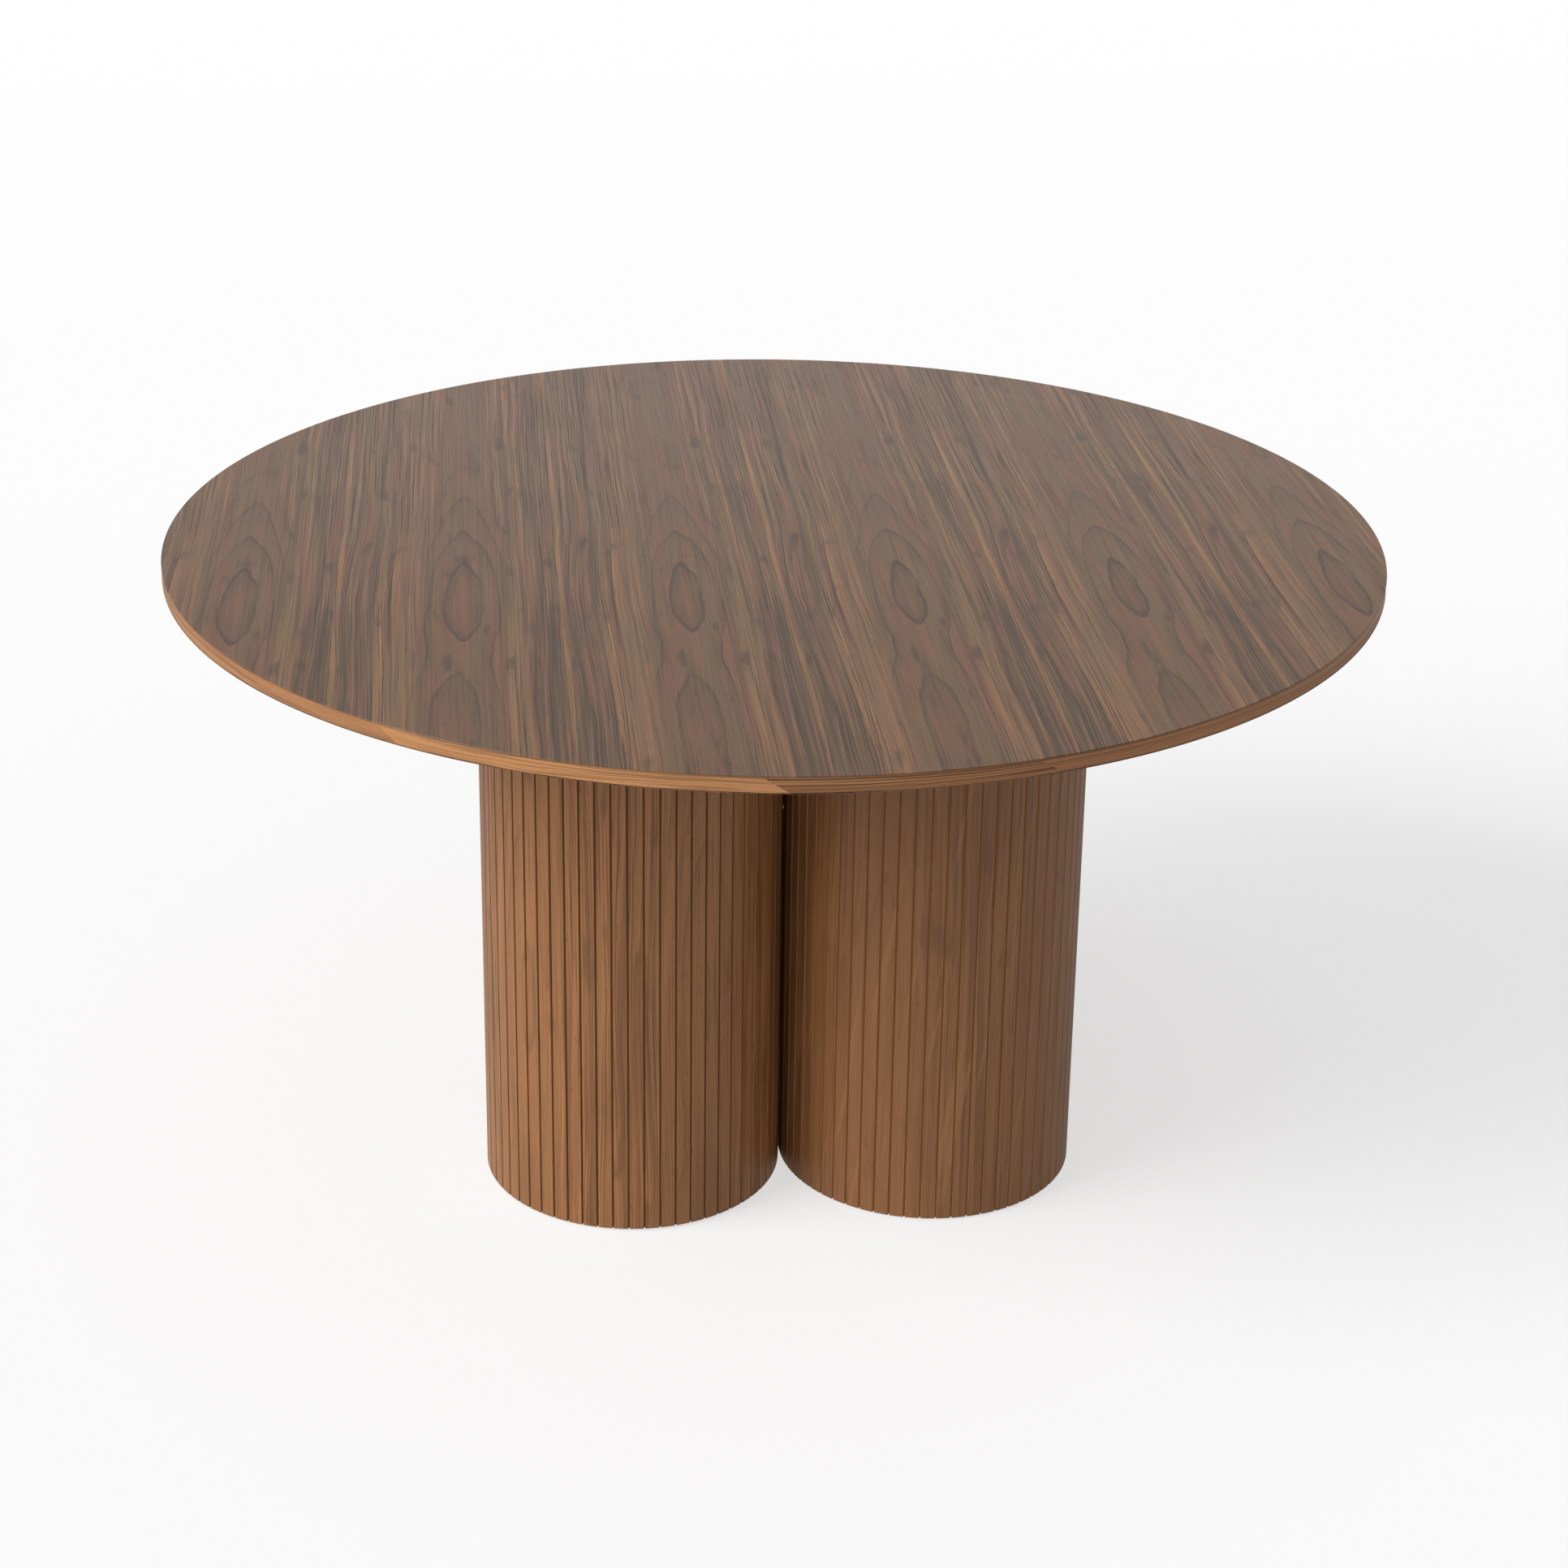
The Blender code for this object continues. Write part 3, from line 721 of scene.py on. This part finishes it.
# The places in a shell's list of materials.
WALNUT_FACE, GROOVE_SIDE, RAW_BOARD = range(3)


def fluted_profile(seam):
    """(angle, radius, material) round the outside of a shell, from one side of the seam to the other."""
    deep = COLUMN_RADIUS - GROOVE_DEPTH
    shoulder = COLUMN_RADIUS - EASED_EDGE
    rim = GROOVE_WIDTH / 2 / COLUMN_RADIUS
    ease = EASED_EDGE / COLUMN_RADIUS
    floor = GROOVE_FLOOR / 2 / deep
    slit = SEAM_GAP / 2 / BORE_RADIUS

    def into(angle):
        """From the face of a slat down to the groove's floor."""
        return [
            (angle - rim - ease, COLUMN_RADIUS, WALNUT_FACE),
            (angle - rim, shoulder, GROOVE_SIDE),
            (angle - floor, deep, GROOVE_SIDE),
        ]

    def out_of(angle):
        """From the groove's floor up to the face of the next slat."""
        return [
            (angle + floor, deep, GROOVE_SIDE),
            (angle + rim, shoulder, WALNUT_FACE),
            (angle + rim + ease, COLUMN_RADIUS, WALNUT_FACE),
        ]

    end = seam + math.tau
    points = [(seam + slit, deep, GROOVE_SIDE), *out_of(seam)]
    for groove in range(1, SLATS):
        angle = seam + groove * SLAT_PITCH
        points += into(angle) + out_of(angle)
    return points + into(end) + [(end - slit, deep, GROOVE_SIDE)]


def column_shell(column):
    """A panel bent round into a tube, with its seam in the groove that faces the table's middle."""
    centre = centre_of(f"top_disc_{column}")
    inward = math.atan2(-centre.y, -centre.x)
    phase = math.radians(GROOVE_PHASE_DEG[column] - 90.0)
    seam = phase + SLAT_PITCH * round((inward - phase) / SLAT_PITCH)
    profile = fluted_profile(seam)
    work = bmesh.new()

    def vertex(angle, radius, z):
        return work.verts.new((centre.x + radius * math.cos(angle), centre.y + radius * math.sin(angle), z))

    outer, inner = [], []
    for z in (COLUMN_BOTTOM, COLUMN_TOP):
        outer.append([vertex(angle, radius, z) for angle, radius, _ in profile])
        inner.append([vertex(angle, BORE_RADIUS, z) for angle, _, _ in profile])
    for i in range(len(profile) - 1):
        j = i + 1
        face = work.faces.new((outer[0][i], outer[0][j], outer[1][j], outer[1][i]))
        face.material_index = profile[i][2]
        for a, b in ((inner[0], inner[1]), (outer[0], inner[0]), (outer[1], inner[1])):
            work.faces.new((a[i], a[j], b[j], b[i])).material_index = RAW_BOARD
    for end in (0, -1):
        corners = (outer[0][end], outer[1][end], inner[1][end], inner[0][end])
        work.faces.new(corners).material_index = RAW_BOARD
    # The front right column's grooves take the paler copy, which is partly painted light on their lit walls.
    groove = LIT_PALE_GROOVE if column == "front_right" else GROOVE
    shell = piece_of(f"fluted_shell_{column}", work, [COLUMN_FACE, groove, BOARD])
    leaf_angle = SLAT_PITCH * SLATS_PER_LEAF
    number = COLUMNS.index(column)

    def place(point, face_centre):
        turn = (math.atan2(face_centre.y - centre.y, face_centre.x - centre.x) - seam) % math.tau
        leaf = math.floor(turn / leaf_angle)
        middle = seam + (leaf + 0.5) * leaf_angle
        angle = (math.atan2(point.y - centre.y, point.x - centre.x) - middle + math.pi) % math.tau - math.pi
        across = (angle + leaf_angle / 2) * COLUMN_RADIUS
        return across, point.z, LEAF_STEP * leaf + COLUMN_STEP * number

    set_grain(shell, place)
    hand_over(shell, f"column_shell_{column}", "table")


def cut(obj, centre, radius, bottom, top):
    """Cuts an upright round hole in a piece, and keeps only the result."""
    work = bmesh.new()
    bmesh.ops.create_cone(
        work,
        cap_ends=True,
        segments=48,
        radius1=radius,
        radius2=radius,
        depth=top - bottom,
        matrix=Matrix.Translation((centre.x, centre.y, (top + bottom) / 2)),
    )
    mesh = bpy.data.meshes.new("cutter")
    work.to_mesh(mesh)
    work.free()
    cutter = bpy.data.objects.new("cutter", mesh)
    bpy.context.scene.collection.objects.link(cutter)
    boolean = obj.modifiers.new("cut", "BOOLEAN")
    boolean.object = cutter
    graph = bpy.context.evaluated_depsgraph_get()
    result = bpy.data.meshes.new_from_object(obj.evaluated_get(graph))
    obj.modifiers.clear()
    obj.data = result
    result.shade_smooth()
    result.set_sharp_from_angle(angle=SHARP_CORNER)
    bpy.data.objects.remove(cutter)


def board_ring(name, node, inner):
    """A turned fibreboard ring in the place of a CAD node."""
    low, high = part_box(node)
    outer = (high.x - low.x) / 2
    work = bmesh.new()
    profile = ring_loop(inner, outer, low.z, high.z, RING_EDGE)
    turned(work, profile, steps=144, centre=(low + high) / 2)
    weld(work)
    return piece_of(name, work, [BOARD])


def column_discs(column):
    """The disc that the top is bolted to, and the ring that carries the foot in a recess."""
    disc = board_ring(f"upper_disc_{column}", f"top_disc_{column}", DISC_BORE)
    hand_over(disc, f"top_disc_{column}", "table")
    ring = board_ring(f"lower_ring_{column}", f"bottom_ring_{column}", RING_BORE)
    foot_centre = centre_of(f"foot_pad_{column}")
    bottom, top = (corner.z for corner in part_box(f"bottom_ring_{column}"))
    flange_room, beyond = 0.002, 0.01
    recess_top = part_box(f"foot_tee_nut_{column}")[0].z + flange_room
    cut(ring, foot_centre, FOOT_RECESS, bottom - beyond, recess_top)
    cut(ring, foot_centre, STUD_HOLE, bottom, top + beyond)
    hand_over(ring, f"bottom_ring_{column}", "table")


# ---------------------------------------------------------------- fixings and feet


def top_bolt(column):
    """A flange bolt up through the disc, and the threaded insert that it meets in the core."""
    node = f"top_bolt_{column}"
    low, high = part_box(node)
    centre = (low + high) / 2
    hexagon_height, flange_height = 0.006, 0.0015
    flange = low.z + hexagon_height
    seat = flange + flange_height
    flange_profile = [
        (0.0, flange),
        (0.0078, flange),
        (0.0087, flange + 0.0005),
        (0.009, flange + 0.0009),
        (0.0088, seat),
        (0.0, seat),
    ]
    work = bmesh.new()
    hexagon(work, SPANNER_RADIUS, low.z, flange + 0.0005, centre)
    turned(work, flange_profile, centre=centre)
    thread(work, M8_RADIUS, seat, high.z, centre)
    bolt = piece_of(f"flange_bolt_{column}", work, [STEEL])
    hand_over(bolt, node, "table")

    node = f"threaded_insert_{column}"
    low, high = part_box(node)
    work = bmesh.new()
    outer, ease = 0.007, 0.0003
    turned(work, ring_loop(M8_CLEARANCE, outer, low.z, high.z, ease), centre=centre)
    weld(work)
    insert = piece_of(f"insert_nut_{column}", work, [STEEL])
    hand_over(insert, node, "table")


def foot(column):
    """A nylon pad, the stud that turns in it, and the tee nut that the stud runs through."""
    centre = centre_of(f"foot_pad_{column}")
    pad_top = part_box(f"foot_pad_{column}")[1].z
    pad_profile = [
        (0.0, 0.0),
        (0.0185, 0.0),
        (0.0196, 0.0004),
        (0.0200, 0.0012),
        (0.0200, 0.0026),
        (0.0194, 0.0036),
        (0.0170, 0.0050),
        (0.0135, 0.0062),
        (0.0100, pad_top - 0.0002),
        (0.0060, pad_top),
        (0.0036, pad_top),
        (0.0033, pad_top - 0.0003),
        (0.0033, 0.0039),
        (0.0, 0.0039),
    ]
    work = bmesh.new()
    turned(work, pad_profile, steps=72, centre=centre)
    pad = piece_of(f"glide_pad_{column}", work, [NYLON])
    hand_over(pad, f"foot_pad_{column}", f"pad_{column}")

    low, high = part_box(f"foot_stud_{column}")
    gap, collar_height = 0.0006, 0.005
    collar_bottom = pad_top + gap
    collar_top = collar_bottom + collar_height
    pin_top = collar_bottom + 0.0005
    pin_profile = [
        (0.0, low.z),
        (0.0026, low.z),
        (0.003, low.z + 0.0004),
        (0.003, pin_top),
        (0.0, pin_top),
    ]
    work = bmesh.new()
    turned(work, pin_profile, steps=48, centre=centre)
    hexagon(work, SPANNER_RADIUS, collar_bottom, collar_top, centre)
    thread(work, M8_RADIUS, collar_top - 0.0002, high.z, centre)
    stud = piece_of(f"levelling_stud_{column}", work, [STEEL])
    hand_over(stud, f"foot_stud_{column}", f"stud_{column}")

    low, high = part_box(f"foot_tee_nut_{column}")
    flange_top = low.z + 0.0017
    nut_profile = [
        (M8_CLEARANCE, low.z),
        (0.0107, low.z),
        (0.0110, low.z + 0.0003),
        (0.0110, flange_top - 0.0002),
        (0.0108, flange_top),
        (0.0060, flange_top),
        (0.0055, flange_top + 0.0005),
        (0.0055, high.z - 0.0004),
        (0.0051, high.z),
        (M8_CLEARANCE, high.z),
        (M8_CLEARANCE, low.z),
    ]
    work = bmesh.new()
    turned(work, nut_profile, centre=centre)
    weld(work)
    nut = piece_of(f"tee_nut_{column}", work, [STEEL])
    hand_over(nut, f"foot_tee_nut_{column}", "table")


def connector(side):
    """A bolt and a sleeve nut with wide flat heads. Their shared axis runs across the joint."""
    bolt_centre = centre_of(f"connector_bolt_{side}")
    heading = math.radians(CONNECTOR_HEADINGS[side])
    middle = (bolt_centre + centre_of(f"connector_nut_{side}")) / 2
    lie = Matrix.Translation(middle) @ Matrix.Rotation(heading, 4, "Z") @ Matrix.Rotation(math.pi / 2, 4, "Y")
    # Along the axis from the joint: the inside of a head, its outside, and the floor of its socket.
    seat, head = 0.0132, 0.0157
    socket = head - 0.0015
    bolt_profile = [
        (0.0, socket),
        (0.0022, socket),
        (0.0022, head),
        (0.0065, head),
        (0.0080, head - 0.0005),
        (0.0085, head - 0.0012),
        (0.0085, seat),
        (0.003, seat),
        (0.003, -0.0085),
        (0.0025, -0.009),
        (0.0, -0.009),
    ]
    work = bmesh.new()
    turned(work, bolt_profile)
    bmesh.ops.transform(work, matrix=lie, verts=work.verts)
    bolt = piece_of(f"joint_bolt_{side}", work, [STEEL])
    hand_over(bolt, f"connector_bolt_{side}", "table")

    nut_profile = [
        (0.0032, 0.009),
        (0.0041, 0.009),
        (0.0044, 0.0086),
        (0.0044, -seat),
        (0.0085, -seat),
        (0.0085, -head + 0.0012),
        (0.0080, -head + 0.0005),
        (0.0065, -head),
        (0.0022, -head),
        (0.0022, -socket),
        (0.0, -socket),
        (0.0, -0.0100),
        (0.0032, -0.0100),
        (0.0032, 0.009),
    ]
    work = bmesh.new()
    turned(work, nut_profile)
    weld(work)
    bmesh.ops.transform(work, matrix=lie, verts=work.verts)
    nut = piece_of(f"joint_nut_{side}", work, [STEEL])
    hand_over(nut, f"connector_nut_{side}", "table")


# ---------------------------------------------------------------- the studio

CAMERA_PLACE = (-0.3674, -3.7393, 2.1048)
CAMERA_HEADING = math.radians(-4.071)
CAMERA_TILT = math.radians(21.386)
CAMERA_ROLL = math.radians(0.196)
CAMERA_LENS = 73.6
CAMERA_SHIFT = (0.060, -0.0963)
SENSOR_WIDTH = 36.0
CAMERA_FAR = 200.0

FLOOR_SIZE = 60.0
FLOOR_GREY = 0.40
WALL_PLACE = (0.0, 14.0, 2.6)
WALL_SIZE = (36.0, 5.2, 1.0)
WALL_GREY = 0.5
WALL_GLOW = 0.54
# The floor and the world are dimmer to the table than to the camera.
FLOOR_GLOW, FLOOR_GLOW_SEEN = 0.26, 0.62
WORLD_GLOW, WORLD_GLOW_SEEN = 0.33, 0.93
# The way to each soft light, its strength and its softness in degrees.
SOFTBOXES = {
    "key": ((-0.80, -0.25, 0.55), 2.75, 40),
    "fill": ((-0.10, -0.85, 0.50), 0.25, 60),
}
WHITE = (1.0, 1.0, 1.0, 1.0)


def softbox(name, towards, strength, softness_deg):
    """A large soft light, far off in the direction given."""
    lamp = bpy.data.lights.new(name, "SUN")
    lamp.energy = strength
    lamp.angle = math.radians(softness_deg)
    light = bpy.data.objects.new(name, lamp)
    light.rotation_euler = Vector(towards).to_track_quat("Z", "Y").to_euler()
    bpy.context.scene.collection.objects.link(light)


def stage_shader(name, grey, glow):
    """A matt grey that also glows white."""
    s = Shader(name)
    s.principled.inputs["Base Color"].default_value = (grey, grey, grey, 1.0)
    s.principled.inputs["Emission Color"].default_value = WHITE
    s.principled.inputs["Emission Strength"].default_value = glow
    return s


def studio():
    """A pale floor that can't be seen from below, a pale wall behind, soft light and the camera."""
    bpy.ops.mesh.primitive_plane_add(size=FLOOR_SIZE)
    floor = bpy.context.object
    floor.name = "floor"
    s = stage_shader("floor", FLOOR_GREY, FLOOR_GLOW)
    s.principled.inputs["Roughness"].default_value = 0.8
    s.principled.inputs["Specular IOR Level"].default_value = 0.1
    seen = s.node("ShaderNodeLightPath").outputs["Is Camera Ray"]
    s.feed(s.principled.inputs["Emission Strength"], s.ramp(seen, 0.0, 1.0, FLOOR_GLOW, FLOOR_GLOW_SEEN))
    one_sided = s.node("ShaderNodeMixShader")
    s.feed(one_sided.inputs["Fac"], s.node("ShaderNodeNewGeometry").outputs["Backfacing"])
    s.feed(one_sided.inputs[1], s.principled.outputs["BSDF"])
    s.feed(one_sided.inputs[2], s.node("ShaderNodeBsdfTransparent").outputs["BSDF"])
    s.feed(s.tree.nodes["Material Output"].inputs["Surface"], one_sided.outputs["Shader"])
    floor.data.materials.append(s.material)

    bpy.ops.mesh.primitive_plane_add(size=1.0, location=WALL_PLACE, rotation=(math.pi / 2, 0.0, 0.0))
    wall = bpy.context.object
    wall.name = "backdrop"
    wall.scale = WALL_SIZE
    wall.data.materials.append(stage_shader("backdrop", WALL_GREY, WALL_GLOW).material)

    world = bpy.data.worlds.new("studio")
    world.use_nodes = True
    tree = world.node_tree
    background = tree.nodes["Background"]
    background.inputs["Color"].default_value = WHITE
    ray = tree.nodes.new("ShaderNodeLightPath")
    strength = tree.nodes.new("ShaderNodeMapRange")
    strength.inputs["To Min"].default_value = WORLD_GLOW
    strength.inputs["To Max"].default_value = WORLD_GLOW_SEEN
    tree.links.new(ray.outputs["Is Camera Ray"], strength.inputs["Value"])
    tree.links.new(strength.outputs["Result"], background.inputs["Strength"])
    bpy.context.scene.world = world
    for name, (towards, energy, softness_deg) in SOFTBOXES.items():
        softbox(name, towards, energy, softness_deg)

    lens = bpy.data.cameras.new("camera")
    lens.lens = CAMERA_LENS
    lens.sensor_width = SENSOR_WIDTH
    lens.shift_x, lens.shift_y = CAMERA_SHIFT
    lens.clip_end = CAMERA_FAR
    camera = bpy.data.objects.new("camera", lens)
    look = Matrix.Rotation(CAMERA_HEADING, 4, "Z") @ Matrix.Rotation(math.pi / 2 - CAMERA_TILT, 4, "X")
    camera.matrix_world = Matrix.Translation(CAMERA_PLACE) @ look @ Matrix.Rotation(CAMERA_ROLL, 4, "Z")
    bpy.context.scene.collection.objects.link(camera)
    bpy.context.scene.camera = camera
    bpy.context.scene.view_settings.view_transform = "Standard"


studio()
for leaf_number in range(1, len(LEAF_DEPTHS) + 1):
    face_leaf(leaf_number)
backing()
for band_number in range(1, len(BOARD_LIGHTNESS) + 1):
    band_length(band_number)
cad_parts["top_core"].data.materials.clear()
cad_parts["top_core"].data.materials.append(BOARD)
for column_name in COLUMNS:
    column_shell(column_name)
    column_discs(column_name)
    top_bolt(column_name)
    foot(column_name)
for side_name in CONNECTOR_HEADINGS:
    connector(side_name)
